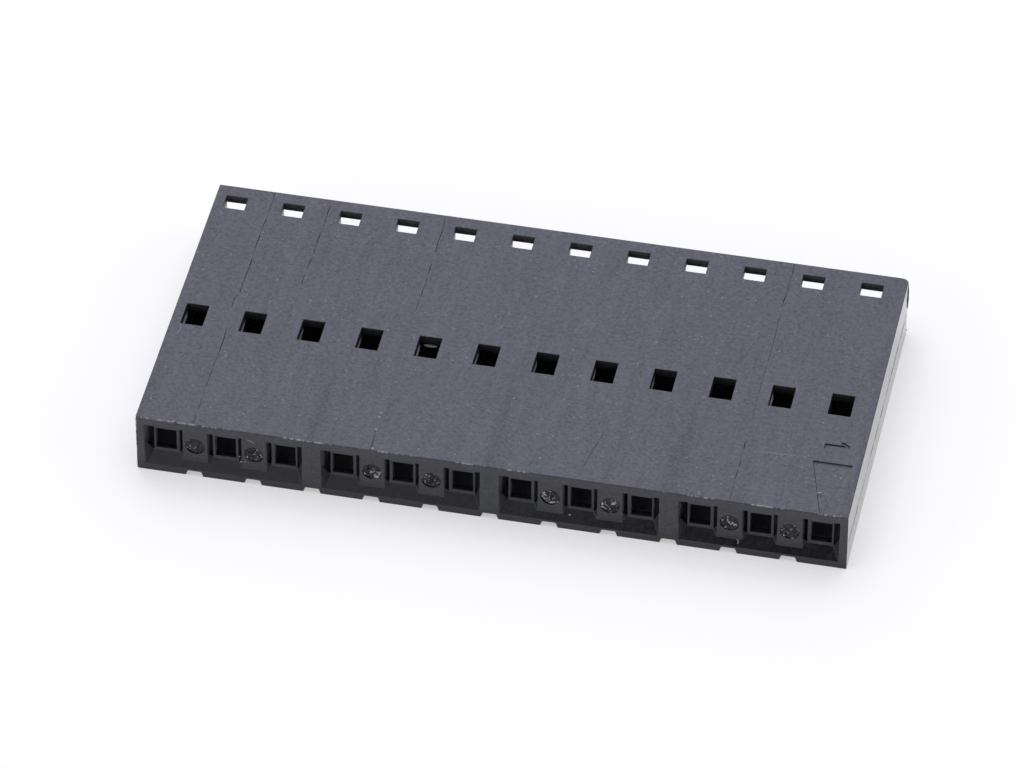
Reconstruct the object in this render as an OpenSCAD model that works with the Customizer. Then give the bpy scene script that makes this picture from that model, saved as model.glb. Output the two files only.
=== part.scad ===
// Twelve-circuit, single-row crimp terminal housing, moulded in one piece.
// X runs along the circuits, -Y is the mating face, +Y the wire entry, Z is up.
// The origin is the middle of the underside.

/* [Body] */
// Number of circuits, in groups of three
circuits = 12; // [3:3:24]
// Distance from one circuit to the next
pitch = 2.54; // [2.5:0.01:3.2]
// From the axis of an outer circuit to the end face
end_margin = 1.205; // [1.1:0.005:2]
// Length from the mating face to the wire entry face
body_depth = 15.24; // [12.5:0.01:24]
// Thickness of the body
body_thick = 2.92; // [2.8:0.01:4]
// Radius of the upright rear edge beside circuit 1
corner_radius = 0.27; // [0.1:0.01:0.3]

/* [Terminal cavities] */
// Width of a cavity
cavity_width = 1.72; // [1.5:0.01:1.8]
// Wall above the cavities
top_wall = 0.41; // [0.3:0.01:0.6]
// Wall below the cavities
floor_wall = 0.50; // [0.4:0.01:0.7]
// Chamfer around each wire entry
entry_chamfer = 0.14; // [0.05:0.01:0.2]
// Distance from the mating face to the front end of a cavity
cavity_front = 0.80; // [0.75:0.05:2]

/* [Windows in the top face] */
// Width of every window
window_width = 0.96; // [0.6:0.01:1.1]
// How far the windows sit off the circuit axis, away from circuit 1
window_shift = 0.27; // [0:0.01:0.3]
// Length of a locking window
lock_window_length = 1.30; // [0.8:0.01:2]
// From the mating face to the middle of the locking windows
lock_window_place = 6.78; // [5:0.01:8]
// Length of a rear window
rear_window_length = 0.82; // [0.5:0.01:1.2]
// Strip of top wall left between a rear window and the wire entry face
rear_window_strip = 0.61; // [0.4:0.01:1]

/* [Pin holes] */
// Width of a pin hole
pin_hole_width = 0.89; // [0.7:0.01:0.95]
// Height of a pin hole
pin_hole_height = 1.06; // [0.7:0.01:1.2]
// Height of the middle of a pin hole above the underside
pin_hole_level = 1.45; // [1.35:0.01:1.6]
// How far the outer holes of a group of three stand out from their noses' middles
pin_hole_creep = 0.03; // [0:0.01:0.04]

/* [Mating face] */
// Width of the nose around a pin hole
nose_width = 1.14; // [1.05:0.01:1.2]
// How far the noses lie behind the mating face
nose_recess = 0.48; // [0.3:0.01:0.8]
// How far the lands between the noses of a group lie behind the mating face
land_recess = 0.27; // [0.1:0.01:0.28]
// Gap between a nose and the land beside it
land_gap = 0.16; // [0.08:0.01:0.25]
// Height of the front lip under the ramp
lip_height = 0.34; // [0.3:0.01:0.38]
// Height of the underside of a nose, where the ramp ends
nose_foot = 0.78; // [0.7:0.01:0.85]
// Height at which the floor of a side slot meets the mating face
slot_front_height = 1.70; // [1.5:0.01:1.9]
// Drop of a side slot's floor for each millimetre of depth
slot_fall = 1.77; // [1.2:0.01:2.5]

/* [Gate marks] */
// Diameter of the shallow round recess that the gate leaves in each land
gate_width = 0.84; // [0.4:0.01:0.9]
// Depth of that recess
gate_depth = 0.05; // [0.02:0.01:0.1]
// Height of its middle above the underside
gate_level = 1.44; // [1.3:0.01:1.6]

/* [Grooves in the underside] */
// Depth of a groove
groove_depth = 0.25; // [0.1:0.01:0.28]
// Width of a groove at the underside
groove_mouth = 0.74; // [0.5:0.01:0.9]
// Width of a groove at its bottom
groove_bottom = 0.58; // [0.3:0.01:0.7]

/* [Circuit 1 mark] */
// Depth of the triangle and of the numeral
mark_depth = 0.08; // [0.04:0.01:0.2]
// Width of the triangle at its base
arrow_width = 1.68; // [1:0.01:2]
// Length of the triangle, whose tip is on the mating face
arrow_length = 3.17; // [2:0.01:4]
// Height of the numeral, which lies along X
numeral_height = 1.05; // [0.8:0.01:1.3]
// Width of the numeral's strokes
numeral_stroke = 0.10; // [0.06:0.01:0.15]
// From the base of the triangle to the stem of the numeral
numeral_gap = 1.08; // [0.6:0.01:1.5]
// How far the numeral's flag stands out behind its stem
numeral_flag = 0.26; // [0.15:0.01:0.4]
// Length of the numeral's flag along its stem
numeral_flag_length = 0.30; // [0.2:0.01:0.5]
// How far the numeral's foot stands out in front of its stem
numeral_foot = 0.20; // [0.1:0.01:0.3]

/* [Hidden] */
$fn = 48;
// Overshoot of every cut past the face that it opens
over = 0.5;
group_size = 3;
groups = circuits / group_size;
body_length = (circuits - 1) * pitch + 2 * end_margin;
front_y = -body_depth / 2;
rear_y = body_depth / 2;
cavity_half = cavity_width / 2;
cavity_top = body_thick - top_wall;
nose_half = nose_width / 2;
land_edge = nose_half + land_gap;
nose_y = front_y + nose_recess;
land_y = front_y + land_recess;
circuit_1_x = (circuits - 1) * pitch / 2;
arrow_y = front_y + arrow_length;
numeral_y = arrow_y + numeral_gap;
mark_z = body_thick - mark_depth;

// Place of circuit i, counted from 0 at the left end
function circuit_x(i) = (i - (circuits - 1) / 2) * pitch;

// Place of a circuit inside its group: -1 first, 0 middle, 1 last
function group_place(i) = i % group_size - 1;

// Half width of the front recess on one side of a nose: the walls at the ends of
// a group stand as far apart as the cavity's, and the lands come nearer
function slot_edge(i, side) = group_place(i) == side ? cavity_half : land_edge;

// Turns an outline in the YZ plane into a prism along X, centred on the origin
module along_x(length) {
    rotate([90, 0, 90])
        translate([0, 0, -length / 2])
            linear_extrude(height = length)
                children();
}

// Plan of the body, with one rounded corner at the rear
module body_plan() {
    corner_x = body_length / 2 - corner_radius;
    corner_y = rear_y - corner_radius;
    difference() {
        translate([-body_length / 2, front_y])
            square([body_length, body_depth]);
        translate([corner_x, corner_y])
            square(corner_radius + over);
    }
    translate([corner_x, corner_y])
        circle(r = corner_radius);
}

// Terminal cavity, open at the wire entry face
module cavity() {
    y0 = front_y + cavity_front;
    translate([-cavity_half, y0, floor_wall])
        cube([cavity_width, rear_y - y0 + over, cavity_top - floor_wall]);
}

// Chamfered mouth of a cavity: two wedges whose meeting part has four slopes
module entry_mouth() {
    far = entry_chamfer + over;
    intersection() {
        along_x(pitch)
            polygon([
                [rear_y - entry_chamfer, floor_wall],
                [rear_y + over, floor_wall - far],
                [rear_y + over, cavity_top + far],
                [rear_y - entry_chamfer, cavity_top],
            ]);
        linear_extrude(height = body_thick)
            polygon([
                [-cavity_half, rear_y - entry_chamfer],
                [-cavity_half - far, rear_y + over],
                [cavity_half + far, rear_y + over],
                [cavity_half, rear_y - entry_chamfer],
            ]);
    }
}

// Window from the top face into a cavity, from y0 to y1
module window(y0, y1) {
    translate([-window_shift - window_width / 2, y0, cavity_top - over])
        cube([window_width, y1 - y0, top_wall + 2 * over]);
}

// The two windows of a circuit
module circuit_windows() {
    lock_y = front_y + lock_window_place;
    rear_window_y = rear_y - rear_window_strip;
    window(lock_y - lock_window_length / 2, lock_y + lock_window_length / 2);
    window(rear_window_y - rear_window_length, rear_window_y);
}

// Pin hole through a nose into its cavity
module pin_hole(i) {
    translate([
        group_place(i) * pin_hole_creep - pin_hole_width / 2,
        front_y,
        pin_hole_level - pin_hole_height / 2,
    ])
        cube([pin_hole_width, cavity_front + over, pin_hole_height]);
}

// Slot beside a nose, from the mating face into the cavity; its floor falls away inwards
module side_slot(i, side) {
    width = slot_edge(i, side) - nose_half;
    fall_length = (slot_front_height - floor_wall) / slot_fall;
    translate([side * (nose_half + width / 2), 0, 0])
        along_x(width)
            polygon([
                [front_y - over, slot_front_height],
                [front_y, slot_front_height],
                [front_y + fall_length, floor_wall],
                [front_y + cavity_front + over, floor_wall],
                [front_y + cavity_front + over, cavity_top],
                [front_y - over, cavity_top],
            ]);
}

// Section of the front recess: flat roof, nose plane, ramp down to the front lip
module recess_section() {
    polygon([
        [front_y - over, lip_height],
        [front_y, lip_height],
        [nose_y, nose_foot],
        [nose_y, cavity_top],
        [front_y - over, cavity_top],
    ]);
}

// Plan of one group's front recess: it narrows to each nose and steps out at each land
module recess_plan() {
    side_x = pitch + cavity_half;
    polygon(concat(
        [[-side_x, front_y - over], [-side_x, front_y]],
        [for (k = [-1:1], side = [-1, 1]) each side == -1
            ? (k == -1 ? [[k * pitch - nose_half, nose_y]]
                       : [[k * pitch - land_edge, land_y], [k * pitch - nose_half, nose_y]])
            : (k == 1 ? [[k * pitch + nose_half, nose_y]]
                      : [[k * pitch + nose_half, nose_y], [k * pitch + land_edge, land_y]])],
        [[side_x, front_y], [side_x, front_y - over]]
    ));
}

// Recess in the mating face shared by three circuits
module group_recess() {
    intersection() {
        along_x(group_size * pitch)
            recess_section();
        linear_extrude(height = body_thick)
            recess_plan();
    }
}

// Round recess in a land, where the gate was torn off
module gate_mark() {
    translate([0, front_y, gate_level])
        rotate([-90, 0, 0])
            cylinder(d = gate_width, h = land_recess + gate_depth);
}

// Groove along the underside, between two circuits
module groove() {
    wall = (groove_mouth - groove_bottom) / 2;
    overshoot = wall * over / groove_depth;
    rotate([90, 0, 0])
        linear_extrude(height = body_depth + 2 * over, center = true)
            polygon([
                [-groove_mouth / 2 - overshoot, -over],
                [groove_mouth / 2 + overshoot, -over],
                [groove_bottom / 2, groove_depth],
                [-groove_bottom / 2, groove_depth],
            ]);
}

// Triangle that points at circuit 1 on the mating face
module arrow() {
    translate([circuit_1_x, 0, mark_z])
        linear_extrude(height = mark_depth + over)
            polygon([
                [0, front_y],
                [arrow_width / 2, arrow_y],
                [-arrow_width / 2, arrow_y],
            ]);
}

// Plain numeral 1, lying with its head towards the end face
module numeral() {
    head_x = numeral_height / 2;
    translate([circuit_1_x, numeral_y, mark_z])
        linear_extrude(height = mark_depth + over) {
            translate([-numeral_height / 2, -numeral_stroke / 2])
                square([numeral_height, numeral_stroke]);
            translate([-numeral_height / 2, -numeral_foot])
                square([numeral_stroke, numeral_foot]);
            polygon([
                [head_x, -numeral_stroke / 2],
                [head_x, numeral_stroke / 2],
                [head_x - numeral_flag_length, numeral_flag],
                [head_x - numeral_flag_length - numeral_stroke, numeral_flag - numeral_stroke],
            ]);
        }
}

// The moulded housing
module housing() {
    color("#3c3d42")
        difference() {
            linear_extrude(height = body_thick)
                body_plan();
            for (i = [0 : circuits - 1])
                translate([circuit_x(i), 0, 0]) {
                    cavity();
                    entry_mouth();
                    circuit_windows();
                    pin_hole(i);
                    side_slot(i, -1);
                    side_slot(i, 1);
                }
            for (g = [0 : groups - 1])
                translate([circuit_x(g * group_size + 1), 0, 0]) {
                    group_recess();
                    for (side = [-1, 1])
                        translate([side * pitch / 2, 0, 0])
                            gate_mark();
                }
            for (i = [0 : circuits - 2])
                translate([circuit_x(i) + pitch / 2, 0, 0])
                    groove();
            arrow();
            numeral();
        }
}

housing();
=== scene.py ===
"""Looks of a twelve-circuit crimp terminal housing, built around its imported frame.

The housing is one moulding. Its visible mesh is the frame's own solid with softened edges, and the
marks that moulding leaves on it are added here: knit lines, torn gates and flash. The classes hold
their sizes in millimetres, and meshes become metres when they are finished.
X runs along the row of circuits, -Y is the mating face and Z is up.
"""

import logging
import math
from dataclasses import dataclass, field
from enum import Enum

import bmesh
import bpy
import numpy as np
from bpy.types import ID, Material, Mesh, Node, NodeSocket, NodeTree, Object
from bpy.types import bpy_prop_collection as Items
from mathutils import Matrix, Vector


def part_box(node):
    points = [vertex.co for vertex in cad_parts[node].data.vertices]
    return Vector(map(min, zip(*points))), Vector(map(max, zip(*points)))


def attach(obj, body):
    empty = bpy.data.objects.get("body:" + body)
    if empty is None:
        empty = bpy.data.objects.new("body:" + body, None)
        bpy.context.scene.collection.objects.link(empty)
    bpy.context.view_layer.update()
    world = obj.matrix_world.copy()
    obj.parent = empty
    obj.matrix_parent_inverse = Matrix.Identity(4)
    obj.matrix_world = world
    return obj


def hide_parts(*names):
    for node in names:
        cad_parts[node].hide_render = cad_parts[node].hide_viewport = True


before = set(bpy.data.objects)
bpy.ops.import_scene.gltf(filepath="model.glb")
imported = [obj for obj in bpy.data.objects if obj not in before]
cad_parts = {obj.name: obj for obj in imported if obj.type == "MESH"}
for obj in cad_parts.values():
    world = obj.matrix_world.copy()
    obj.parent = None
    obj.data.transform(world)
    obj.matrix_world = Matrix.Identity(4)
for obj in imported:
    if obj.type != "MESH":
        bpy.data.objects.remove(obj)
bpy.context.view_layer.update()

LOG = logging.getLogger("crimp_housing")
MM = 0.001
NODE = "housing"
BODY = "root"

# Sockets of the colour mode of a Mix node, whose names aren't unique
MIX_SHARE, MIX_LOW, MIX_HIGH, MIX_RESULT = 0, 6, 7, 2

# The range that a noise texture mostly keeps to
NOISE_SPAN = 0.3, 0.7

Array = np.ndarray
Point = tuple[float, float, float]


# ---------------------------------------------------------------- shapes worked out as arrays


def value_noise(u: Array, v: Array, cell: float, seed: int) -> Array:
    """Works out smooth random heights over a plane.

    Random numbers stand on a square lattice, and a point takes the blend of its four nearest,
    with the weight 3t^2 - 2t^3 of its place t between them.

    Args:
        u: First coordinate of each point.
        v: Second coordinate of each point.
        cell: Side of a lattice square, in the unit of u and v.
        seed: Seed of the random numbers.

    Returns:
        Heights from 0 to 1, in the shape of u.
    """
    side = 256
    table = np.random.default_rng(seed).random((side, side))
    iu, iv = np.floor(u / cell).astype(int), np.floor(v / cell).astype(int)
    tu, tv = u / cell - iu, v / cell - iv
    tu, tv = tu * tu * (3 - 2 * tu), tv * tv * (3 - 2 * tv)
    i0, i1, j0, j1 = iu % side, (iu + 1) % side, iv % side, (iv + 1) % side
    near = table[i0, j0] * (1 - tu) + table[i1, j0] * tu
    far = table[i0, j1] * (1 - tu) + table[i1, j1] * tu
    return near * (1 - tv) + far * tv


def rough_noise(u: Array, v: Array, cell: float, seed: int, octaves: int = 3) -> Array:
    """Adds up value noise whose cell and height halve from one octave to the next.

    Args:
        u: First coordinate of each point.
        v: Second coordinate of each point.
        cell: Lattice side of the first octave.
        seed: Seed of the first octave.
        octaves: How many are added.

    Returns:
        Heights from 0 to 1, in the shape of u.
    """
    weights = 0.5 ** np.arange(octaves)
    layers = [w * value_noise(u, v, cell * w, seed + k) for k, w in enumerate(weights)]
    return sum(layers) / weights.sum()


def ring_faces(rings: int, points: int) -> list[tuple[int, ...]]:
    """Joins closed rings of points into the quads of a tube, with a cap on each end.

    Args:
        rings: Number of rings.
        points: Number of points in a ring.

    Returns:
        The faces, as tuples of point numbers counted ring by ring.
    """
    ring, point = np.arange(rings - 1)[:, None] * points, np.arange(points)[None, :]
    after = (point + 1) % points
    quads = np.stack([ring + point, ring + after, ring + points + after, ring + points + point], -1)
    first = tuple(range(points))[::-1]
    last = tuple(range((rings - 1) * points, rings * points))
    return [*map(tuple, quads.reshape(-1, 4).tolist()), first, last]


def tube(name: str, points: Array, weld_mm: float = 1e-5) -> Mesh:
    """Makes a closed tube from rings of points, with its faces outwards.

    Args:
        name: Name of the mesh.
        points: Coordinates in mm, one row of points for each ring.
        weld_mm: Points nearer than this become one, so that a ring without width is a pole.

    Returns:
        The mesh, in mm.
    """
    rings, around, _ = points.shape
    mesh = bpy.data.meshes.new(name)
    mesh.from_pydata(points.reshape(-1, 3).tolist(), [], ring_faces(rings, around))
    shape = bmesh.new()
    shape.from_mesh(mesh)
    bmesh.ops.remove_doubles(shape, verts=shape.verts, dist=weld_mm)
    bmesh.ops.dissolve_degenerate(shape, edges=shape.edges, dist=weld_mm)
    bmesh.ops.recalc_face_normals(shape, faces=shape.faces)
    shape.to_mesh(mesh)
    shape.free()
    return mesh


def carried(path: Array, section: Array, side: Array, up: Array) -> Array:
    """Carries sections along a path.

    Point j of ring i is path_i + section_ij0 * side_i + section_ij1 * up_i.

    Args:
        path: Points of the path, in mm.
        section: Two coordinates for each point of each ring, in mm.
        side: Unit vector of a section's first axis, for each ring or for all.
        up: Unit vector of its second axis, for each ring or for all.

    Returns:
        Coordinates for tube().
    """
    side, up = np.broadcast_to(side, path.shape), np.broadcast_to(up, path.shape)
    return (
        path[:, None, :]
        + section[:, :, :1] * side[:, None, :]
        + section[:, :, 1:] * up[:, None, :]
    )


def ellipses(half_width: Array, half_height: Array, around: int) -> Array:
    """Works out a closed elliptical section for each ring: (a cos t, b sin t).

    Args:
        half_width: a of each ring, in mm.
        half_height: b of each ring, in mm.
        around: Number of points in a section.

    Returns:
        Sections for carried().
    """
    angle = np.linspace(0, 2 * np.pi, around, endpoint=False)
    return np.stack([np.outer(half_width, np.cos(angle)), np.outer(half_height, np.sin(angle))], -1)


# ---------------------------------------------------------------- meshes and pieces


def linked(name: str, data: ID) -> Object:
    """Returns a new object of the scene, at the origin."""
    thing = bpy.data.objects.new(name, data)
    bpy.context.scene.collection.objects.link(thing)
    return thing


def worked(mesh: Mesh, kind: str, **settings: object) -> Mesh:
    """Puts one modifier on a mesh and takes its result.

    Args:
        mesh: The mesh to work on, which is then removed.
        kind: Type of the modifier.
        **settings: Properties of the modifier.

    Returns:
        The new mesh.
    """
    name = mesh.name
    thing = linked(name, mesh)
    modifier = thing.modifiers.new(kind, kind)
    for key, value in settings.items():
        setattr(modifier, key, value)
    seen = thing.evaluated_get(bpy.context.evaluated_depsgraph_get())
    result = bpy.data.meshes.new_from_object(seen)
    bpy.data.objects.remove(thing)
    bpy.data.meshes.remove(mesh)
    result.name = name
    return result


def piece(mesh: Mesh, smooth_deg: float) -> Object:
    """Makes a finished mesh a piece of the housing.

    Args:
        mesh: The mesh, in mm.
        smooth_deg: Edges sharper than this stay sharp.

    Returns:
        The object, at the origin, riding on the housing's body.
    """
    mesh.transform(Matrix.Scale(MM, 4))
    mesh.shade_smooth()
    mesh.set_sharp_from_angle(angle=math.radians(smooth_deg))
    thing = linked(mesh.name, mesh)
    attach(thing, BODY)
    LOG.info("%s: %d faces", thing.name, len(mesh.polygons))
    return thing


def read_array(items: Items, key: str, width: int = 1) -> Array:
    """Reads one property of all items of a mesh collection.

    Args:
        items: Such as mesh.vertices or mesh.edges.
        key: The property's name.
        width: Numbers for each item.

    Returns:
        An array with one row for each item, or flat where width is 1.
    """
    whole = key.endswith("index") or key == "vertices"
    flat = np.zeros(len(items) * width, int if whole else float)
    items.foreach_get(key, flat)
    return flat.reshape(-1, width) if width > 1 else flat


def write_attribute(mesh: Mesh, name: str, domain: str, values: Array) -> None:
    """Writes a number for each point or edge of a mesh.

    Args:
        mesh: The mesh.
        name: Name of the attribute.
        domain: POINT or EDGE.
        values: One number for each item.
    """
    layer = mesh.attributes.get(name) or mesh.attributes.new(name, "FLOAT", domain)
    layer.data.foreach_set("value", np.ascontiguousarray(values, np.float32))


# ---------------------------------------------------------------- finishes


def linear(colour: str) -> tuple[float, float, float, float]:
    """Turns an sRGB hex colour linear.

    Args:
        colour: Such as "#34343a".

    Returns:
        Linear red, green and blue, with an alpha of 1.
    """
    parts = [int(colour[k : k + 2], 16) / 255 for k in (1, 3, 5)]
    return (*[p / 12.92 if p <= 0.04045 else ((p + 0.055) / 1.055) ** 2.4 for p in parts], 1.0)


def per_metre(size_mm: float) -> float:
    """Returns the scale at which a pattern on Object coordinates repeats every size_mm."""
    return 1 / (size_mm * MM)


def add_node(tree: NodeTree, kind: str, inputs: dict | tuple = (), **settings: object) -> Node:
    """Adds one node with its settings and links.

    Args:
        tree: The node tree.
        kind: The node's type.
        inputs: What its inputs take, by name or number or else in their order. Each takes a
            value, the socket that feeds it, or a node, whose first output feeds it.
        **settings: Properties of the node.

    Returns:
        The node.
    """
    node = tree.nodes.new(kind)
    for key, value in settings.items():
        setattr(node, key, value)
    for key, value in inputs.items() if isinstance(inputs, dict) else enumerate(inputs):
        source = value.outputs[0] if isinstance(value, Node) else value
        if isinstance(source, NodeSocket):
            tree.links.new(source, node.inputs[key])
        else:
            node.inputs[key].default_value = source
    return node


def empty_material(name: str) -> tuple[Material, NodeTree]:
    """Returns a new material without nodes, and its node tree."""
    material = bpy.data.materials.new(name)
    material.use_nodes = True
    material.node_tree.nodes.clear()
    return material, material.node_tree


@dataclass(frozen=True)
class MouldedPolyester:
    """Black polyester filled with short glass fibre, as it comes out of the mould.

    Carbon black makes it nearly black. The tool's grain makes it matt and greys its peaks, and
    fibres that reached the skin show as fine pale specks. It may also fade to a paler colour
    towards the mating face, which is painted light, and to a darker colour towards the underside,
    which is painted shade.
    """

    name: str
    deep: str = "#1a1a2a"
    pale: str = "#525261"
    # The grey of the middle of the row, which is a little cooler
    tint: str = "#4e5562"
    tint_half_mm: float = 3.8
    tint_fade_mm: float = 2.0
    # The eroded grain is a few hundredths of a millimetre wide, too fine to show, and is drawn
    # this coarse
    grain_mm: float = 0.16
    grain_octaves: float = 2.5
    grain_roughness: float = 0.9
    grain_contrast: float = 2.6
    grain_height_mm: float = 0.005
    streak_share: float = 0.0
    streak_height: float = 0.2
    streak_length_mm: float = 3.0
    streak_width_mm: float = 0.4
    # Painted light: a paler colour towards the mating face, for the light that comes in at the
    # mouths
    painted_mouth_light: str | None = None
    painted_mouth_light_from_mm: float = -6.6
    painted_mouth_light_to_mm: float = -3.5
    # Painted shade: a darker colour towards the underside, for the shade near the floor
    foot: str | None = None
    foot_shade_mm: float = 0.7
    roughness: float = 0.46
    roughness_spread: float = 0.10
    ior: float = 1.55
    coat: float = 0.0
    # A fibre is 0.01 mm thick, too fine to show, and its end is drawn as coarse as a grain
    speck_mm: float = 0.13
    speck_colour: str = "#96969f"
    speck_radius: float = 0.45
    speck_share: float = 0.0
    speck_patch_mm: float = 1.6
    # From a bare patch to a crowded one: the patches' noise, and how many times speck_share
    speck_patch_span: tuple[float, float] = (0.35, 0.7)
    speck_crowding: tuple[float, float] = (0.2, 2.5)
    flow_share: float = 0.0
    flow_half_mm: float = 0.5
    flow_from_mm: float = -1.5
    flow_to_mm: float = -4.5

    def material(self) -> Material:
        """Builds the material.

        Returns:
            A Principled material whose grain, tints and specks are worked out on the object.
        """
        material, tree = empty_material(self.name)
        at = add_node(tree, "ShaderNodeTexCoord").outputs["Object"]
        place = add_node(tree, "ShaderNodeSeparateXYZ", {"Vector": at}).outputs
        grain = add_node(
            tree,
            "ShaderNodeTexNoise",
            {
                "Vector": at,
                "Scale": per_metre(self.grain_mm),
                "Detail": self.grain_octaves,
                "Roughness": self.grain_roughness,
            },
        )
        away = add_node(tree, "ShaderNodeMath", (place["X"],), operation="ABSOLUTE")
        outer, inner = self.tint_half_mm + self.tint_fade_mm, self.tint_half_mm - self.tint_fade_mm
        middle = add_node(tree, "ShaderNodeMapRange", (away, outer * MM, inner * MM))
        layers = [(self.tint, middle), (self.deep, self.darkness(tree, at, place, grain))]
        # Painted light towards the mating face
        if self.painted_mouth_light:
            reach = (place["Y"], self.painted_mouth_light_to_mm * MM, self.painted_mouth_light_from_mm * MM)
            layers.append((self.painted_mouth_light, add_node(tree, "ShaderNodeMapRange", reach)))
        # Painted shade towards the underside
        if self.foot:
            reach = (place["Z"], self.foot_shade_mm * MM, 0.0)
            layers.append((self.foot, add_node(tree, "ShaderNodeMapRange", reach)))
        if self.speck_share:
            layers.append((self.speck_colour, self.specks(tree, at)))
        colour = linear(self.pale)
        for shade, share in layers:
            inputs = {MIX_SHARE: share, MIX_LOW: colour, MIX_HIGH: linear(shade)}
            colour = add_node(tree, "ShaderNodeMix", inputs, data_type="RGBA").outputs[MIX_RESULT]
        least, most = self.roughness - self.roughness_spread, self.roughness + self.roughness_spread
        matt = (grain, *NOISE_SPAN, least, most)
        relief = {"Strength": 1.0, "Distance": self.grain_height_mm * MM, "Height": grain}
        shader = add_node(
            tree,
            "ShaderNodeBsdfPrincipled",
            {
                "Base Color": colour,
                "Roughness": add_node(tree, "ShaderNodeMapRange", matt),
                "Normal": add_node(tree, "ShaderNodeBump", relief),
                "IOR": self.ior,
                "Coat Weight": self.coat,
                "Coat Roughness": self.roughness,
            },
        )
        add_node(tree, "ShaderNodeOutputMaterial", {"Surface": shader})
        return material

    def darkness(self, tree: NodeTree, at: NodeSocket, place: Items, grain: Node) -> Node:
        """Works out how far the skin stays black instead of grey.

        It is black in the grain's valleys, more so in streaks along Y. In the front half, soft
        bands on each multiple of a group's length along X are darker, where the streams of two
        groups met.

        Args:
            tree: The node tree.
            at: Object coordinates.
            place: The same, by axis.
            grain: Height of the grain, about 0.5.

        Returns:
            A node that gives 0 where the skin is grey and 1 or more where it is black.
        """
        narrow, long = per_metre(self.streak_width_mm), per_metre(self.streak_length_mm)
        stretched = add_node(
            tree, "ShaderNodeMapping", {"Vector": at, "Scale": (narrow, long, narrow)}
        )
        streak = add_node(
            tree, "ShaderNodeTexNoise", {"Vector": stretched, "Scale": 1.0, "Detail": 2.0}
        )
        most = self.streak_height * self.streak_share
        shift = add_node(tree, "ShaderNodeMapRange", (streak, *NOISE_SPAN, -most, most))
        height = add_node(tree, "ShaderNodeMath", (grain, shift), operation="ADD")
        half = 0.5 / self.grain_contrast
        dark = add_node(tree, "ShaderNodeMapRange", (height, 0.5 + half, 0.5 - half))
        if not self.flow_share:
            return dark
        group = Layout.group * Layout.pitch * MM
        away = add_node(tree, "ShaderNodeMath", (place["X"], group / 2), operation="PINGPONG")
        band = (away, self.flow_half_mm * MM, 0.0, 0.0, self.flow_share)
        front = (place["Y"], self.flow_from_mm * MM, self.flow_to_mm * MM)
        shares = tuple(add_node(tree, "ShaderNodeMapRange", inputs) for inputs in (band, front))
        flow = add_node(tree, "ShaderNodeMath", shares, operation="MULTIPLY")
        return add_node(tree, "ShaderNodeMath", (dark, flow), operation="ADD")

    def specks(self, tree: NodeTree, at: NodeSocket) -> Node:
        """Works out the fibre ends: dots of random size and whiteness, crowded in patches.

        Args:
            tree: The node tree.
            at: Object coordinates.

        Returns:
            A node that gives 0 beside the specks and up to 1 on them.
        """
        cells = add_node(
            tree, "ShaderNodeTexVoronoi", {"Vector": at, "Scale": per_metre(self.speck_mm)}
        ).outputs
        chance = add_node(tree, "ShaderNodeSeparateColor", {"Color": cells["Color"]}).outputs
        size = (chance["Green"], self.speck_radius)
        radius = add_node(tree, "ShaderNodeMath", size, operation="MULTIPLY")
        inside = add_node(tree, "ShaderNodeMath", (radius, cells["Distance"]), operation="SUBTRACT")
        dot = add_node(tree, "ShaderNodeMapRange", (inside, 0.0, self.speck_radius / 4))
        crowd = add_node(
            tree, "ShaderNodeTexNoise", {"Vector": at, "Scale": per_metre(self.speck_patch_mm)}
        )
        shares = (self.speck_share * crowding for crowding in self.speck_crowding)
        limit = add_node(tree, "ShaderNodeMapRange", (crowd, *self.speck_patch_span, *shares))
        chosen = add_node(tree, "ShaderNodeMath", (chance["Red"], limit), operation="LESS_THAN")
        glint = add_node(tree, "ShaderNodeMath", (chance["Blue"], 2.0), operation="POWER")
        white = add_node(tree, "ShaderNodeMath", (dot, glint), operation="MULTIPLY")
        return add_node(tree, "ShaderNodeMath", (white, chosen), operation="MULTIPLY")


@dataclass(frozen=True)
class TornPolyester:
    """The same plastic where it was torn or drawn out thin.

    Stress opened it along the fibres, so its peaks are whitened and its hollows stay black. The
    attribute torn says how white each point is.
    """

    name: str
    deep: str = "#0b0a13"
    white: str = "#d2d0da"
    roughness: float = 0.40
    gloss: float = 0.5

    def material(self) -> Material:
        """Builds the material.

        Returns:
            A Principled material that follows the attribute torn.
        """
        material, tree = empty_material(self.name)
        torn = add_node(tree, "ShaderNodeAttribute", attribute_name="torn").outputs["Fac"]
        inputs = {MIX_SHARE: torn, MIX_LOW: linear(self.deep), MIX_HIGH: linear(self.white)}
        colour = add_node(tree, "ShaderNodeMix", inputs, data_type="RGBA").outputs[MIX_RESULT]
        shader = add_node(
            tree,
            "ShaderNodeBsdfPrincipled",
            {
                "Base Color": colour,
                "Roughness": self.roughness,
                "Specular IOR Level": self.gloss,
            },
        )
        add_node(tree, "ShaderNodeOutputMaterial", {"Surface": shader})
        return material


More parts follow.
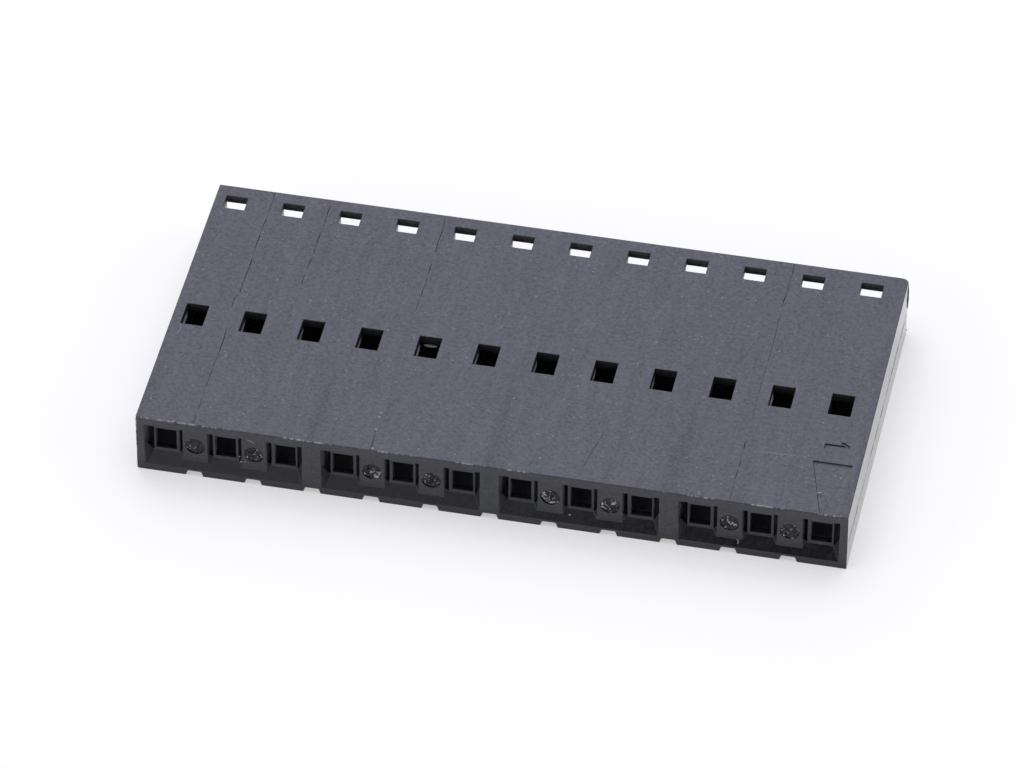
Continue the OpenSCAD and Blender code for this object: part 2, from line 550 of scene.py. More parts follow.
class Zone(Enum):
    """Parts of the moulding's skin, by the finish of the tool that formed them. Some zones' colours
    also paint light or shade.
    """

    # A plain tool face: almost black, satin, and painted darker towards the foot, which paints the
    # shade near the floor
    SIDE = MouldedPolyester(
        name="polyester_plain_side",
        deep="#0d0d13",
        pale="#32323c",
        tint="#31333c",
        foot="#020203",
        roughness=0.36,
        roughness_spread=0.05,
        grain_height_mm=0.002,
    )
    # An eroded tool face: matt slate grey with a fine mottle, pale fibre ends and soft bands
    TOP = MouldedPolyester(
        name="polyester_grained_top", streak_share=0.2, speck_share=0.10, flow_share=0.25
    )
    # A polished core: dark and shiny, so that it mirrors the dim side of the room. Its colour is
    # also painted darker than the top, which paints part of the ramps' shade
    RAMP = MouldedPolyester(
        name="polyester_polished_ramp_painted_shade",
        deep="#08080c",
        pale="#232329",
        tint="#222429",
        roughness=0.15,
        roughness_spread=0.03,
        grain_mm=0.4,
        grain_height_mm=0.003,
    )
    # Window walls: dull, and painted a shade darker than the top around them, which paints the
    # shade inside the windows
    WINDOW = MouldedPolyester(
        name="polyester_window_painted_shade",
        deep="#131318",
        pale="#2a2a30",
        tint="#292b30",
        roughness=0.5,
        grain_height_mm=0.003,
    )
    # Walls at the rear way in for the wires: dull grey, paler than the plastic, which paints the
    # light from the white floor beyond, so that they read as a pale line
    ENTRY = MouldedPolyester(
        name="polyester_entry_painted_light",
        deep="#39393c",
        pale="#565659",
        tint="#545659",
        roughness=0.5,
        grain_height_mm=0.003,
    )
    # Narrow slot walls: painted pale grey, so that they still show grey in their own shade, which
    # is painted light
    SLOT = MouldedPolyester(
        name="polyester_slot_painted_light",
        deep="#56565e",
        pale="#74747c",
        tint="#72747c",
        roughness=0.5,
        grain_height_mm=0.002,
    )
    # A polished core's walls: painted pale grey, which paints the light that they carry far into
    # the cavity, and paler still at the front, which paints the light coming in at the mouth
    CAVITY = MouldedPolyester(
        name="polyester_cavity_painted_light",
        deep="#5a5a60",
        pale="#727278",
        tint="#707378",
        painted_mouth_light="#84848a",
        roughness=0.2,
        roughness_spread=0.04,
        grain_height_mm=0.001,
    )
    # A lapped tool face: smooth under a thin resin skin, so that it mirrors the white floor
    END = MouldedPolyester(
        name="polyester_smooth_end",
        deep="#1c1c20",
        pale="#2c2c31",
        tint="#2a2d31",
        roughness=0.15,
        roughness_spread=0.06,
        coat=0.45,
        grain_height_mm=0.0008,
        streak_share=1.0,
        streak_length_mm=6.0,
        streak_width_mm=0.3,
    )
    # The bottom of a knit or parting line: rough and unpolished, and painted darker than the skin
    # around it, which paints the shade in the groove, so that it reads as a dark thread
    LINE = MouldedPolyester(
        name="polyester_hairline_painted_shade",
        deep="#15151a",
        pale="#303038",
        tint="#2f3138",
        roughness=0.6,
    )


# The stump of a sprue: near black in its pits, which partly paints their shade, with whitened
# shreds that catch the light
TORN_GATE = TornPolyester("polyester_torn_gate", gloss=0.4)

# Thin translucent flash: grey where it lies close, and paler where it was bent or drawn out
THIN_FLASH = TornPolyester("polyester_flash", "#24242a", "#b4b4ba")


# ---------------------------------------------------------------- the housing


@dataclass
class Layout:
    """Driving sizes of the housing, and the places that follow from them and from its frame."""

    pitch: float = 2.54
    circuits: int = 12
    group: int = 3
    top_wall: float = 0.41
    land_recess: float = 0.27
    gate_level: float = 1.44
    gate_depth: float = 0.05
    groove_depth: float = 0.25
    # The locking windows: their middle from a circuit's axis, and their rear edge along Y
    window_shift: float = -0.27
    window_width: float = 0.96
    lock_window_rear: float = -0.19
    lock_window_length: float = 1.30
    low: Vector = field(default_factory=lambda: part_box(NODE)[0] / MM)
    high: Vector = field(default_factory=lambda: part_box(NODE)[1] / MM)

    def circuit_x(self, index: float | Array) -> float | Array:
        """Returns the axis of a circuit counted from 0 at the left; halves lie between two."""
        return (index - (self.circuits - 1) / 2) * self.pitch

    def land_x(self) -> Array:
        """Returns the middles of the lands, each between two circuits of one group."""
        index = np.arange(self.circuits - 1)
        inside = index[index % self.group < self.group - 1]
        return self.circuit_x(inside + 0.5)

    def wall_x(self) -> Array:
        """Returns the middles of the walls between the groups."""
        return self.circuit_x(np.arange(self.group, self.circuits, self.group) - 0.5)


@dataclass
class Hairline:
    """One fine line in the skin, cut as a shallow V that fades out at its ends.

    It runs straight from start to end, apart from a bow of bow times 4t(1 - t) to its side and a
    wander of smooth noise. Its depth follows rough noise, from none at the level gap to all of it
    at the level full. Where the noise is under gap the cutter stays clear of the skin, so that
    the line is broken.
    """

    start: Point
    end: Point
    outwards: Point = (0.0, 0.0, 1.0)
    width: float = 0.06
    depth: float = 0.025
    bow: float = 0.0
    wander: float = 0.09
    fade: float = 0.05
    gap: float = 0.22
    full: float = 0.7
    lift: float = 0.5
    seed: int = 1
    step: float = 0.06
    jog: float = 0.9
    crumb: float = 0.35
    clear: float = 0.05

    def cutter(self) -> Mesh:
        """Makes the wedge that cuts the line.

        Returns:
            A closed mesh: a triangle carried along the line, open outwards past the skin.
        """
        begin, finish, up = np.array(self.start), np.array(self.end), np.array(self.outwards)
        length = np.linalg.norm(finish - begin)
        rings = int(length / self.step)
        t = np.linspace(0, 1, rings)
        side = np.cross(finish - begin, up)
        side /= np.linalg.norm(side)
        drift = (rough_noise(t * length, t * 0, self.jog, self.seed) - 0.5) * self.wander
        drift += self.bow * 4 * t * (1 - t)
        path = begin + np.outer(t, finish - begin) + np.outer(drift, side)
        shown = np.clip(np.minimum(t, 1 - t) / self.fade, 0, 1)
        rough = rough_noise(t * length, t * 0, self.crumb, self.seed + 50)
        strength = np.clip((rough - self.gap) / (self.full - self.gap), -self.lift, 1)
        depth = self.depth * (strength * shown - self.lift * (1 - shown))
        section = np.zeros((rings, 3, 2))
        section[:, 0, 1] = -depth
        section[:, 1:, 1] = self.clear
        half = self.width / 2 * (1 + self.clear / self.depth)
        section[:, 1, 0], section[:, 2, 0] = half, -half
        return tube("hairline", carried(path, section, side, up))


@dataclass
class Moulding:
    """The moulded housing itself: the frame's solid with soft edges and its hairlines."""

    layout: Layout
    edge_radius: float = 0.03
    brow_radius: float = 0.06
    groove_radius: float = 0.07
    worn_corner_radius: float = 0.10
    foot_corner_radius: float = 0.045
    edge_steps: int = 3
    sharp_deg: float = 25.0
    smooth_deg: float = 40.0
    parting_level: float = 1.25
    gate_reach: float = 0.46
    # Where the zones of the skin begin: depths in mm, and a normal's share along its axis
    mating_depth: float = 1.0
    entry_depth: float = 5.0
    top_depth: float = 0.12
    near: float = 0.01
    face_slack: float = 0.02
    slant_from: float = 0.3
    flat_from: float = 0.9
    square_from: float = 0.95

    def hairlines(self) -> list[Hairline]:
        """Lists the lines in the skin.

        Knit lines run rearwards over the lands, where the gates' streams met, and one scratch
        crosses the front half of the top. The mould's parting line runs along both ends, with
        nicks in the right one, and its inserts met on the walls between the groups.

        Returns:
            The lines.
        """
        gate, low, high = self.layout.land_x(), self.layout.low, self.layout.high
        past, nick = 0.1, 0.2
        rear, front, top = high.y + past, low.y - past, high.z
        knits = [
            Hairline(
                (gate[0], rear, top), (gate[0], 0.9, top),
                width=0.05, fade=0.01, gap=0.1, seed=11,
            ),
            Hairline((gate[0], 0.9, top), (gate[0] - 0.09, -0.2, top), fade=0.2, bow=0.1, gap=0.1),
            Hairline((gate[0], -1.2, top), (gate[0], front, top), width=0.04, seed=18),
            Hairline((gate[1], rear, top), (gate[1] - 0.05, 1.5, top), width=0.035, seed=12),
            Hairline((gate[2], rear, top), (gate[2], 1.2, top), width=0.045, seed=13),
            Hairline((gate[2] - 0.03, -6.2, top), (gate[2] + 0.05, front, top), gap=0.05, seed=14),
            Hairline((gate[6] + 0.04, rear, top), (gate[6] + 0.02, 4.6, top), width=0.04, seed=15),
            Hairline((gate[6] + 0.02, 4.6, top), (gate[6], -2.9, top), width=0.02, seed=19),
            Hairline((gate[6], -3.8, top), (gate[6], front, top), width=0.04, seed=16),
            Hairline((4.25, -4.0, top), (3.6, -7.4, top), bow=-0.12, fade=0.3, seed=17),
        ]
        across, forwards, level = (1.0, 0.0, 0.0), (0.0, -1.0, 0.0), self.parting_level
        parting = [
            Hairline((end.x, front, level), (end.x, rear, level), way, width=0.16, depth=0.035)
            for end, way in ((high, across), (low, (-1.0, 0.0, 0.0)))
        ]
        nicks = [
            Hairline(
                (high.x, y - nick, z), (high.x, y + nick, z), across,
                width=0.22, depth=0.1, fade=0.2, gap=-2.0,
            )
            for y, z in ((-6.70, 1.35), (0.73, 1.26), (4.23, 1.39))
        ]
        inserts = [
            Hairline((x, low.y, 0.3), (x, low.y, top), forwards, width=0.02, depth=0.006, gap=0.1)
            for x in self.layout.wall_x()[:2]
        ]
        return knits + parting + nicks + inserts

    def solid(self) -> Mesh:
        """Copies the frame's solid in mm, merges it and dissolves the seams in its flat faces.

        Returns:
            The mesh.
        """
        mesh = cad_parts[NODE].data.copy()
        mesh.name = "moulded_housing"
        mesh.transform(Matrix.Scale(1 / MM, 4))
        shape = bmesh.new()
        shape.from_mesh(mesh)
        bmesh.ops.remove_doubles(shape, verts=shape.verts, dist=1e-4)
        bmesh.ops.dissolve_limit(
            shape, angle_limit=math.radians(0.5), verts=shape.verts, edges=shape.edges
        )
        shape.to_mesh(mesh)
        shape.free()
        if "custom_normal" in mesh.attributes:
            mesh.attributes.remove(mesh.attributes["custom_normal"])
        mesh.materials.clear()
        return mesh

    def softness(self, mesh: Mesh) -> Array:
        """Works out how far each edge is rounded.

        An edge is sharp where the cosine between its two faces' normals is under that of
        sharp_deg. Sharp edges take edge_radius, a few named ones take their own, and the rims of
        the gate recesses stay as they are.

        Args:
            mesh: The merged solid, in mm.

        Returns:
            A radius in mm for each edge.
        """
        sides = read_array(mesh.polygons, "loop_total").astype(int)
        face = np.repeat(np.arange(len(mesh.polygons)), sides)
        order = np.argsort(read_array(mesh.loops, "edge_index"), kind="stable")
        pair = face[order].reshape(-1, 2)
        normal = read_array(mesh.polygons, "normal", 3)
        cosine = (normal[pair[:, 0]] * normal[pair[:, 1]]).sum(1)
        sharp = cosine < math.cos(math.radians(self.sharp_deg))
        ends = read_array(mesh.vertices, "co", 3)[read_array(mesh.edges, "vertices", 2)]
        middle, span = ends.mean(1), np.ptp(ends, axis=1)
        low, high = np.array(self.layout.low), np.array(self.layout.high)
        near, long = self.near, 1.0
        left, right = (np.abs(middle[:, 0] - x) < near for x in (low[0], high[0]))
        front = np.abs(middle[:, 1] - low[1]) < near
        top, foot = (np.abs(middle[:, 2] - z) < near for z in (high[2], low[2]))
        lengthwise = (span[:, 1] > long) & (span[:, 0] < near)
        in_groove = lengthwise & (np.abs(middle[:, 2] - self.layout.groove_depth) < near)
        radius = np.where(sharp, self.edge_radius, 0.0)
        radius[sharp & top & front] = self.brow_radius
        radius[sharp & in_groove] = self.groove_radius
        radius[sharp & left & front & (span[:, 2] > long)] = self.worn_corner_radius
        radius[sharp & right & foot & lengthwise] = self.foot_corner_radius
        from_gate = np.abs(middle[:, :1] - self.layout.land_x()[None, :]).min(1)
        rise = middle[:, 2] - self.layout.gate_level
        depth = middle[:, 1] - low[1] - self.layout.land_recess
        in_recess = np.abs(depth) < 2 * self.layout.gate_depth
        radius[(np.hypot(from_gate, rise) < self.gate_reach) & in_recess] = 0.0
        return radius

    def zones(self, mesh: Mesh) -> Array:
        """Works out the finish of each face from its normal and place. Later rules win.

        Args:
            mesh: The mesh, in mm.

        Returns:
            The number of each face's material.
        """
        normal = read_array(mesh.polygons, "normal", 3)
        centre = read_array(mesh.polygons, "center", 3)
        x, y, z = centre.T
        low, high = np.array(self.layout.low), np.array(self.layout.high)
        edge = self.worn_corner_radius
        inside = ((centre > low + edge) & (centre < high - edge))[:, :2].all(1)
        behind = inside & (y > low[1] + self.mating_depth)
        ceiling = high[2] - self.layout.top_wall
        in_wall = behind & (z > ceiling + self.face_slack)
        below = behind & (z < ceiling + self.face_slack) & (z > self.layout.groove_depth)
        in_nose = inside & ~behind & (y > low[1] + self.layout.land_recess / 2) & (z < ceiling)
        slanted = (normal[:, 2] > self.slant_from) & (normal[:, 2] < self.square_from)
        faces = {
            Zone.CAVITY: below,
            Zone.WINDOW: in_wall,
            Zone.ENTRY: in_wall & (y > self.entry_depth),
            Zone.SLOT: in_nose & (np.abs(normal[:, 0]) > self.square_from),
            Zone.RAMP: slanted & ~behind & (z < ceiling),
            Zone.TOP: (normal[:, 2] > self.flat_from) & (z > high[2] - self.top_depth),
            Zone.END: (np.abs(normal[:, 0]) > self.flat_from) & (np.abs(x) > high[0] - self.near),
        }
        order = list(Zone)
        zone = np.full(len(normal), order.index(Zone.SIDE))
        for finish, chosen in faces.items():
            zone[chosen] = order.index(finish)
        return zone.astype(np.int32)

    def with_lines(self, mesh: Mesh) -> Mesh:
        """Cuts the hairlines into the mesh.

        Args:
            mesh: The mesh, in mm.

        Returns:
            The cut mesh. A cut's faces have the finish of the lines.
        """
        finish = mesh.materials[list(Zone).index(Zone.LINE)]
        for line in self.hairlines():
            wedge = line.cutter()
            wedge.materials.append(finish)
            cutter = linked("hairline", wedge)
            mesh = worked(
                mesh, "BOOLEAN",
                operation="DIFFERENCE", object=cutter, solver="EXACT", material_mode="TRANSFER",
            )
            bpy.data.objects.remove(cutter)
            bpy.data.meshes.remove(wedge)
        return mesh

    def build(self) -> Object:
        """Builds the moulding and lets it stand for the frame's node.

        Returns:
            The piece.
        """
        mesh = self.solid()
        radius = self.softness(mesh)
        widest = radius.max()
        write_attribute(mesh, "bevel_weight_edge", "EDGE", radius / widest)
        mesh = worked(
            mesh, "BEVEL",
            width=widest, segments=self.edge_steps, limit_method="WEIGHT", use_clamp_overlap=False,
        )
        for zone in Zone:
            mesh.materials.append(zone.value.material())
        mesh.polygons.foreach_set("material_index", self.zones(mesh))
        mesh = self.with_lines(mesh)
        thing = piece(mesh, self.smooth_deg)
        weighted = thing.modifiers.new("flat faces stay flat", "WEIGHTED_NORMAL")
        weighted.keep_sharp = True
        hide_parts(NODE)
        return thing


@dataclass
class TornGates:
    """The eight torn gates: a ragged plug of drawn-out plastic in each round recess."""

    layout: Layout
    radius: float = 0.47
    outline: tuple[float, float] = (0.78, 0.4)
    proud: float = 0.10
    sunk: float = 0.01
    # Shares of the height, and what shapes them: noise cells in mm, and shares of the radius
    ridge_share: float = 0.6
    ridge_mm: float = 0.17
    ridge_power: int = 6
    lump_share: float = 0.25
    lump_mm: float = 0.2
    ring_share: float = 0.3
    ring_mm: float = 0.1
    ring_at: float = 0.75
    ring_width: float = 0.12
    # Whitening: how flecks, broader patches and height add up, and what they have to pass. Height
    # whitens the drawn-out peaks and leaves the pits dark, which partly paints their shade
    fleck_mm: float = 0.07
    patch_mm: float = 0.24
    white_shares: tuple[float, float, float] = (0.8, 0.35, 0.5)
    white_from: float = 0.86
    white_rise: float = 4.0
    whitest: float = 0.7
    rings: int = 26
    around: int = 84
    smooth_deg: float = 20.0
    finish: Material = field(default_factory=TORN_GATE.material)

    def plug(self, number: int, x: float) -> Object:
        """Builds one plug.

        At the share s of its radius it stands proud of the recess's floor by ridges, which are
        1 - |2n - 1| to the ridge_power for a rough noise n of the place, by broader lumps and by
        a low ring, all times 1 - s^4, so that the rim meets the floor. Each noise is read at a
        place of its own, well away from the others.

        Args:
            number: Number of the gate, from 1 at the left.
            x: Its place along the row, in mm.

        Returns:
            The piece.
        """
        share = np.linspace(0, 1, self.rings)[:, None]
        angle = np.linspace(0, 2 * np.pi, self.around, endpoint=False)[None, :]
        least, spread = self.outline
        ragged = value_noise(np.cos(angle) * 3 + 9, np.sin(angle) * 3 + 9, 1.0, number)
        r = self.radius * share * (least + spread * ragged)
        across, rise = r * np.cos(angle), r * np.sin(angle)
        noise = rough_noise(across + 40 + 3 * number, rise + 40, self.ridge_mm, 100 + number)
        ridges = (1 - np.abs(2 * noise - 1)) ** self.ridge_power
        noise = value_noise(across + 20, rise + 20, self.lump_mm, 150 + number)
        lumps = np.clip(noise * 2 - 0.8, 0, 1)
        ring = np.exp(-(((share - self.ring_at) / self.ring_width) ** 2))
        ring = ring * value_noise(across + 9, rise, self.ring_mm, number)
        height = self.ridge_share * ridges + self.lump_share * lumps + self.ring_share * ring
        height = self.proud * height * (1 - share**4)
        floor_y = self.layout.low.y + self.layout.land_recess + self.layout.gate_depth
        front = np.stack([x + across, floor_y - height, self.layout.gate_level + rise], -1)
        back = front[-1:].copy()
        back[..., 1] = floor_y + self.sunk
        mesh = tube(f"gate_vestige_{number}", np.concatenate([front, back]))
        place = read_array(mesh.vertices, "co", 3)
        # Height whitens the peaks and keeps the pits dark: real whitening, and painted shade in the
        # pits
        height_whitening_and_pit_shade = (floor_y - place[:, 1]) / self.proud
        flecks = value_noise(place[:, 0] + 60, place[:, 2] + 60, self.fleck_mm, 200 + number)
        patches = value_noise(place[:, 0] + 80, place[:, 2] + 80, self.patch_mm, 250 + number)
        amount = self.white_shares @ np.stack([flecks, patches, height_whitening_and_pit_shade])
        torn = np.clip((amount - self.white_from) * self.white_rise, 0, 1) * self.whitest
        write_attribute(mesh, "torn", "POINT", torn)
        mesh.materials.append(self.finish)
        return piece(mesh, self.smooth_deg)

    def build(self) -> list[Object]:
        """Builds the plugs in all lands.

        Returns:
            The pieces.
        """
        return [self.plug(number, x) for number, x in enumerate(self.layout.land_x(), 1)]


@dataclass
class Thread:
    """A short thread or flake of drawn-out plastic.

    It follows the quadratic curve (1 - t)^2 a + 2t(1 - t) b + t^2 c. Its section is an ellipse
    whose half width and half thickness taper by the root of 4t(1 - t), with a little noise.
    """

    name: str
    points: tuple[Point, Point, Point]
    width: float
    thickness: float
    whiteness: float
    up: Point = (0.0, 0.0, 1.0)
    taper: tuple[float, float] = (0.6, 0.8)
    seed: int = 1
    rings: int = 24
    around: int = 8
    smooth_deg: float = 60.0

    def build(self, finish: Material) -> Object:
        """Builds the thread.

        Args:
            finish: Its material, which reads the attribute torn.

        Returns:
            The piece.
        """
        a, b, c = (np.array(point) for point in self.points)
        t = np.linspace(0, 1, self.rings)[:, None]
        path = (1 - t) ** 2 * a + 2 * t * (1 - t) * b + t**2 * c
        tangent = 2 * (1 - t) * (b - a) + 2 * t * (c - b)
        noise = rough_noise(t[:, 0] * 6, t[:, 0] * 0, 1.0, self.seed)
        least, spread = self.taper
        taper = np.sqrt(4 * t[:, 0] * (1 - t[:, 0])) * (least + spread * noise)
        side = np.cross(tangent, np.array(self.up))
        side /= np.linalg.norm(side, axis=-1, keepdims=True)
        up = np.cross(side, tangent / np.linalg.norm(tangent, axis=-1, keepdims=True))
        section = ellipses(self.width / 2 * taper, self.thickness / 2 * taper, self.around)
        mesh = tube(self.name, carried(path, section, side, up))
        write_attribute(mesh, "torn", "POINT", np.full(len(mesh.vertices), self.whiteness))
        mesh.materials.append(finish)
        return piece(mesh, self.smooth_deg)


@dataclass
class Flash:
    """Thin flash: on the mating face's edges, in the locking windows and in single threads."""

    layout: Layout
    bead_radius: float = 0.034
    bead_least: float = 0.3
    # Whitest bead: flash whitening, and partly painted highlight
    bead_whitening_and_highlight: float = 0.5
    # Noise cells along a bead: stretches that have flash, and the crumbs that it breaks into
    stretch_mm: float = 1.1
    stretch_from: float = 0.25
    crumb_mm: float = 0.07
    step: float = 0.02
    around: int = 10
    smooth_deg: float = 60.0
    # How much flash each locking window has, from circuit 12 at the left to circuit 1
    ledges: tuple[float, ...] = (0.9, 0.7, 0.6, 0.35, 0.8, 0.7, 0.6, 0.5, 0.5, 0.0, 1.0, 0.0)
    ledge_width: float = 0.13
    ledge_thickness: float = 0.03
    ledge_whitest: float = 0.24
    finish: Material = field(default_factory=THIN_FLASH.material)

    def bead(
        self, name: str, start: Point, end: Point, inwards: tuple[Point, Point], seed: int
    ) -> Object:
        """Builds the ragged flash along one edge of the moulding, within the edge's round.

        It is a bead carried along the edge. The bead touches the planes of both faces, and its
        radius and whiteness are rough noise along the edge. The whiteness is partly painted
        highlight, where the burrs catch the light.

        Args:
            name: Name of the piece.
            start: Where it starts on the sharp edge, in mm.
            end: Where it ends.
            inwards: For each of the two faces, the unit vector into the plastic.
            seed: Seed of the noise.

        Returns:
            The piece.
        """
        begin, run = np.array(start), np.array(end) - np.array(start)
        first, second = np.array(inwards, float)
        length = np.linalg.norm(run)
        t = np.linspace(0, 1, int(length / self.step))
        stretches = rough_noise(t * length, t * 0, self.stretch_mm, seed)
        crumbs = rough_noise(t * length, t * 0, self.crumb_mm, seed + 1)
        amount = np.clip((stretches - self.stretch_from) * 2, 0, 1) * crumbs
        amount[[0, -1]] = 0
        share = self.bead_least + (1 - self.bead_least) * np.clip(2 * amount, 0, 1)
        reach = self.bead_radius * share
        path = begin + np.outer(t, run) + np.outer(reach, first + second)
        mesh = tube(name, carried(path, ellipses(reach, reach, self.around), first, second))
        along = (read_array(mesh.vertices, "co", 3) - begin) @ run / length**2
        # Whitening, partly painted highlight on the burrs
        torn = np.interp(along, t, np.clip(2 * amount - 0.5, 0, self.bead_whitening_and_highlight))
        write_attribute(mesh, "torn", "POINT", torn)
        mesh.materials.append(self.finish)
        return piece(mesh, self.smooth_deg)

    def beads(self) -> list[Object]:
        """Builds the flash along the brow and down both corners of the mating face.

        Returns:
            The pieces.
        """
        low, high = self.layout.low, self.layout.high
        right, left, back, down = (1, 0, 0), (-1, 0, 0), (0, 1, 0), (0, 0, -1)
        end = 0.1
        brow = (low.x + end, low.y, high.z), (high.x - end / 2, low.y, high.z)
        left_corner = (low.x, low.y, end / 2), (low.x, low.y, high.z - end)
        right_corner = (high.x, low.y, end), (high.x, low.y, high.z - end / 2)
        return [
            self.bead("brow_flash", *brow, (back, down), 31),
            self.bead("left_corner_flash", *left_corner, (right, back), 36),
            self.bead("right_corner_flash", *right_corner, (left, back), 41),
        ]

    def window_ledges(self) -> list[Thread]:
        """Lists the flash that the core left along the lower left edge of the locking windows.

        Returns:
            The threads.
        """
        level = self.layout.high.z - self.layout.top_wall
        rear = self.layout.lock_window_rear
        front = rear - self.layout.lock_window_length
        edge = self.layout.window_shift - self.layout.window_width / 2
        listed = []
        for index, share in enumerate(self.ledges):
            if share:
                x = self.layout.circuit_x(index) + edge
                run = front + 0.05, (front + rear) / 2, rear - 0.1
                ends = tuple((x, y, level) for y in run)
                width = self.ledge_width * (1 + share) / 2
                white = self.ledge_whitest * share
                name, seed = f"window_flash_{index + 1}", 70 + index
                listed.append(Thread(name, ends, width, self.ledge_thickness, white, seed=seed))
        return listed

    def threads(self) -> list[Thread]:
        """Lists the single threads, flakes and crumbs.

        Returns:
            The threads.
        """
        low, high = self.layout.low, self.layout.high
        land, level = low.y + self.layout.land_recess, high.z - self.layout.top_wall
        near = self.layout.lock_window_rear - 0.10
        forwards = (0.0, -1.0, 0.0)
        # Levels at which a thread is half sunk into the top
        skin, thin = high.z - 0.004, high.z - 0.003
        on_knit = [
            Thread(
                f"crumb_{letter}_on_knit_3",
                ((x - 0.05, y, skin), (x, y + 0.03, thin), (x + 0.05, y, skin)),
                0.10, 0.016, white,
            )
            for letter, x, y, white in (
                ("a", -5.01, -7.50, 0.7),
                ("b", -5.11, -6.33, 0.6),
                ("c", -5.14, -5.56, 0.55),
                ("d", -5.12, -5.28, 0.4),
            )
        ]
        return on_knit + [
            Thread(
                "flake_in_window_5",
                ((-4.40, near, level), (-4.09, near - 0.03, level), (-3.78, near, level)),
                0.17, 0.02, 0.22,
            ),
            Thread(
                "flake_on_ramp_8",
                ((3.33, -7.34, 0.57), (3.38, -7.36, 0.62), (3.43, -7.34, 0.60)),
                0.07, 0.05, 1.0, forwards,
            ),
            Thread(
                "curl_by_gate_7",
                ((10.47, -7.37, 0.60), (10.62, -7.43, 0.54), (10.53, -7.53, 0.46)),
                0.05, 0.05, 0.75, forwards,
            ),
            Thread(
                "streak_over_gate_2",
                ((-10.48, land, 2.27), (-10.26, land, 2.20), (-10.13, land, 2.09)),
                0.05, 0.02, 0.5, forwards,
            ),
            Thread(
                "crumb_a_by_gate_2",
                ((-10.80, land, 1.22), (-10.77, land - 0.02, 1.25), (-10.74, land, 1.25)),
                0.06, 0.05, 0.9, forwards,
            ),
            Thread(
                "crumb_b_by_gate_2",
                ((-10.76, land, 0.92), (-10.72, land - 0.02, 0.95), (-10.67, land, 0.97)),
                0.07, 0.05, 0.9, forwards,
            ),
            Thread(
                "crumb_c_by_gate_2",
                ((-10.57, land, 0.98), (-10.54, land - 0.02, 1.01), (-10.50, land, 1.01)),
                0.06, 0.05, 0.7, forwards,
            ),
            Thread(
                "scratch_by_arrow",
                ((13.60, -6.35, skin), (13.73, -6.34, skin), (13.87, -6.31, skin)),
                0.05, 0.016, 0.45,
            ),
            Thread(
                "scratch_behind_arrow",
                ((10.25, -4.39, thin), (11.5, -4.36, thin), (12.9, -4.30, thin)),
                0.04, 0.012, 0.3, rings=60,
            ),
            Thread(
                "thread_at_rear_corner",
                ((15.16, 7.46, 2.88), (15.20, 7.42, 2.2), (15.18, 7.38, 1.42)),
                0.06, 0.06, 0.0, forwards, rings=48,
            ),
            Thread(
                "crumb_at_rear_corner",
                ((15.15, 7.45, 0.10), (15.17, 7.45, 0.14), (15.15, 7.45, 0.18)),
                0.07, 0.07, 0.0, forwards,
            ),
            Thread(
                "hair_by_left_end",
                ((-15.0, -1.35, thin), (-14.3, -1.7, thin), (-14.9, -2.45, thin)),
                0.035, 0.014, 0.4,
            ),
        ]

    def build(self) -> list[Object]:
        """Builds all the flash.

        Returns:
            The pieces.
        """
        single = [thread.build(self.finish) for thread in self.threads()]
        beads = self.beads()
        return single + beads + [ledge.build(self.finish) for ledge in self.window_ledges()]


# ---------------------------------------------------------------- studio


def aimed(
    name: str,
    data: ID,
    azimuth: float,
    elevation: float,
    distance: float,
    at: Point = (0.0, 0.0, 0.0),
) -> Object:
    """Makes a lamp or a camera that looks at a place of the housing.

    Args:
        name: Its name.
        data: The light or camera.
        azimuth: Where it stands seen from that place, in degrees: 0 is in front of the mating
            face and 90 beyond the right end.
        elevation: How far above the horizon, in degrees.
        distance: How far away, in mm.
        at: The place, in mm.

    Returns:
        The object.
    """
    a, e = math.radians(azimuth), math.radians(elevation)
    towards = Vector((math.sin(a) * math.cos(e), -math.cos(a) * math.cos(e), math.sin(e)))
    thing = linked(name, data)
    thing.location = (Vector(at) + towards * distance) * MM
    thing.rotation_euler = towards.to_track_quat("Z", "Y").to_euler()
    return thing


@dataclass(frozen=True)
class Lamp:
    """A soft box. It is placed by direction and distance from the housing and faces it."""

    name: str
    azimuth: float
    elevation: float
    distance: float
    width: float
    height: float
    radiance: float
    colour: str = "#f8f8ff"

    def build(self) -> Object:
        """Makes the lamp. Its power is radiance * pi * area, so its size leaves its brightness.

        Returns:
            The lamp.
        """
        data = bpy.data.lights.new(self.name, "AREA")
        data.shape = "RECTANGLE"
        data.size, data.size_y = self.width * MM, self.height * MM
        data.color = linear(self.colour)[:3]
        data.energy = self.radiance * math.pi * data.size * data.size_y
        return aimed(self.name, data, self.azimuth, self.elevation, self.distance)


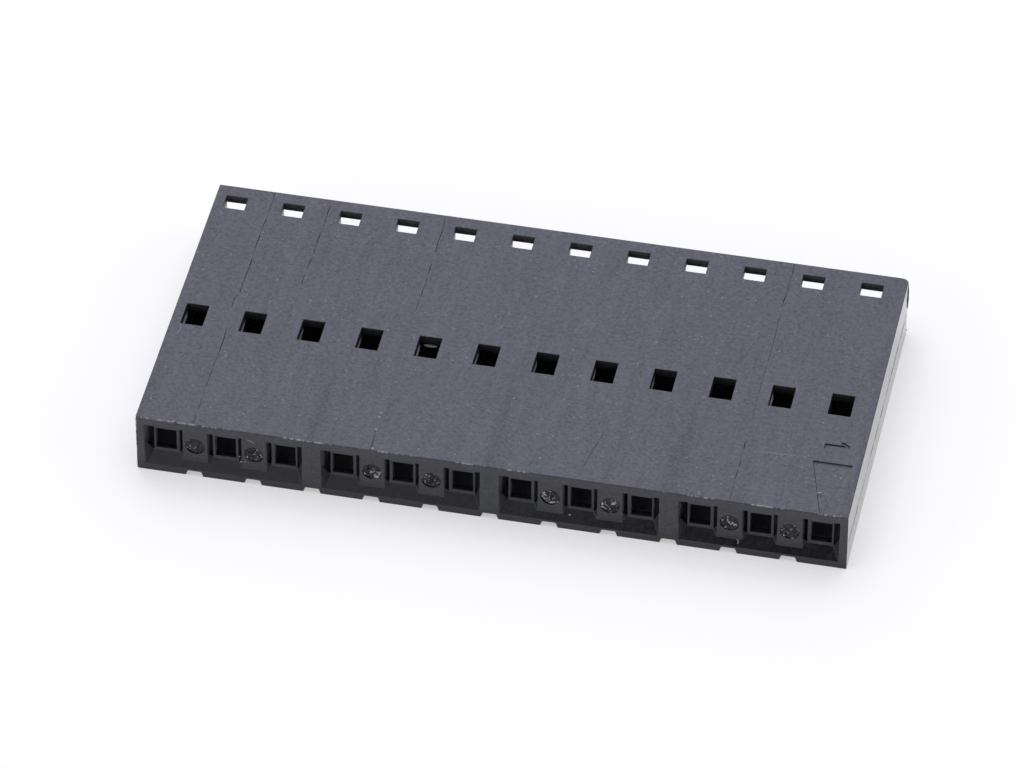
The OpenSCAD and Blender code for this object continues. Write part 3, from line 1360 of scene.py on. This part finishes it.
@dataclass
class Studio:
    """Plain pale floor, soft lamps, dim room and the camera."""

    lamps: tuple[Lamp, ...] = (
        Lamp("rear_canopy", 188.0, 44.0, 520.0, 720.0, 440.0, 1.60),
        Lamp("overhead", 180.0, 86.0, 600.0, 620.0, 520.0, 2.1),
        Lamp("left_wing", -105.0, 34.0, 560.0, 520.0, 420.0, 0.45),
        Lamp("right_wing", 105.0, 34.0, 560.0, 520.0, 420.0, 0.95),
        Lamp("left_front_panel", -50.0, 48.0, 420.0, 370.0, 420.0, 0.60),
        Lamp("right_front_panel", 62.0, 36.0, 480.0, 420.0, 360.0, 0.20),
        Lamp("low_front_fill", -24.0, 16.0, 600.0, 1200.0, 380.0, 0.84),
    )
    room_grey: float = 0.05
    floor_colour: str = "#fafafc"
    floor_glow: float = 0.45
    floor_side: float = 4000.0
    camera_azimuth: float = 11.80
    camera_elevation: float = 42.30
    camera_distance: float = 312.4
    camera_aim: Point = (-0.775, 0.748, 0.0)
    lens: float = 257.0
    sensor: float = 36.0

    def floor(self) -> Object:
        """Makes the floor, which glows evenly where it is seen and keeps the housing's shadow.

        Returns:
            The floor.
        """
        half = self.floor_side * MM / 2
        mesh = bpy.data.meshes.new("floor")
        corners = [(-half, -half, 0), (half, -half, 0), (half, half, 0), (-half, half, 0)]
        mesh.from_pydata(corners, [], [(0, 1, 2, 3)])
        material, tree = empty_material("white_floor")
        ray = add_node(tree, "ShaderNodeLightPath").outputs
        kinds = ray["Is Camera Ray"], ray["Is Glossy Ray"]
        seen = add_node(tree, "ShaderNodeMath", kinds, operation="ADD")
        kinds = seen, ray["Is Transmission Ray"]
        seen = add_node(tree, "ShaderNodeMath", kinds, operation="ADD", use_clamp=True)
        share = add_node(tree, "ShaderNodeMath", (seen, self.floor_glow), operation="MULTIPLY")
        lit = add_node(tree, "ShaderNodeBsdfDiffuse", {"Color": linear(self.floor_colour)})
        glow = add_node(tree, "ShaderNodeEmission", {"Color": linear("#ffffff"), "Strength": 1.0})
        both = add_node(tree, "ShaderNodeMixShader", (share, lit, glow))
        add_node(tree, "ShaderNodeOutputMaterial", {"Surface": both})
        mesh.materials.append(material)
        thing = linked("floor", mesh)
        return thing

    def room(self) -> None:
        """Fills the room with dim grey light."""
        world = bpy.data.worlds.new("room")
        world.use_nodes = True
        tree = world.node_tree
        tree.nodes.clear()
        grey = (self.room_grey, self.room_grey, self.room_grey, 1.0)
        light = add_node(tree, "ShaderNodeBackground", {"Color": grey, "Strength": 1.0})
        add_node(tree, "ShaderNodeOutputWorld", {"Surface": light})
        bpy.context.scene.world = world

    def camera(self) -> None:
        """Makes the camera and looks through it."""
        data = bpy.data.cameras.new("camera")
        data.sensor_width, data.lens = self.sensor, self.lens
        data.clip_start = 10 * MM
        stand = self.camera_azimuth, self.camera_elevation, self.camera_distance
        bpy.context.scene.camera = aimed("camera", data, *stand, self.camera_aim)

    def build(self) -> None:
        """Sets up the whole studio."""
        self.floor()
        self.room()
        self.camera()
        for lamp in self.lamps:
            lamp.build()
        bpy.context.scene.view_settings.view_transform = "Standard"


def main() -> None:
    """Builds the studio and the housing, and reports each piece."""
    logging.basicConfig(level=logging.INFO, format="%(name)s %(message)s")
    Studio().build()
    layout = Layout()
    Moulding(layout).build()
    TornGates(layout).build()
    Flash(layout).build()


if __name__ == "__main__":
    main()
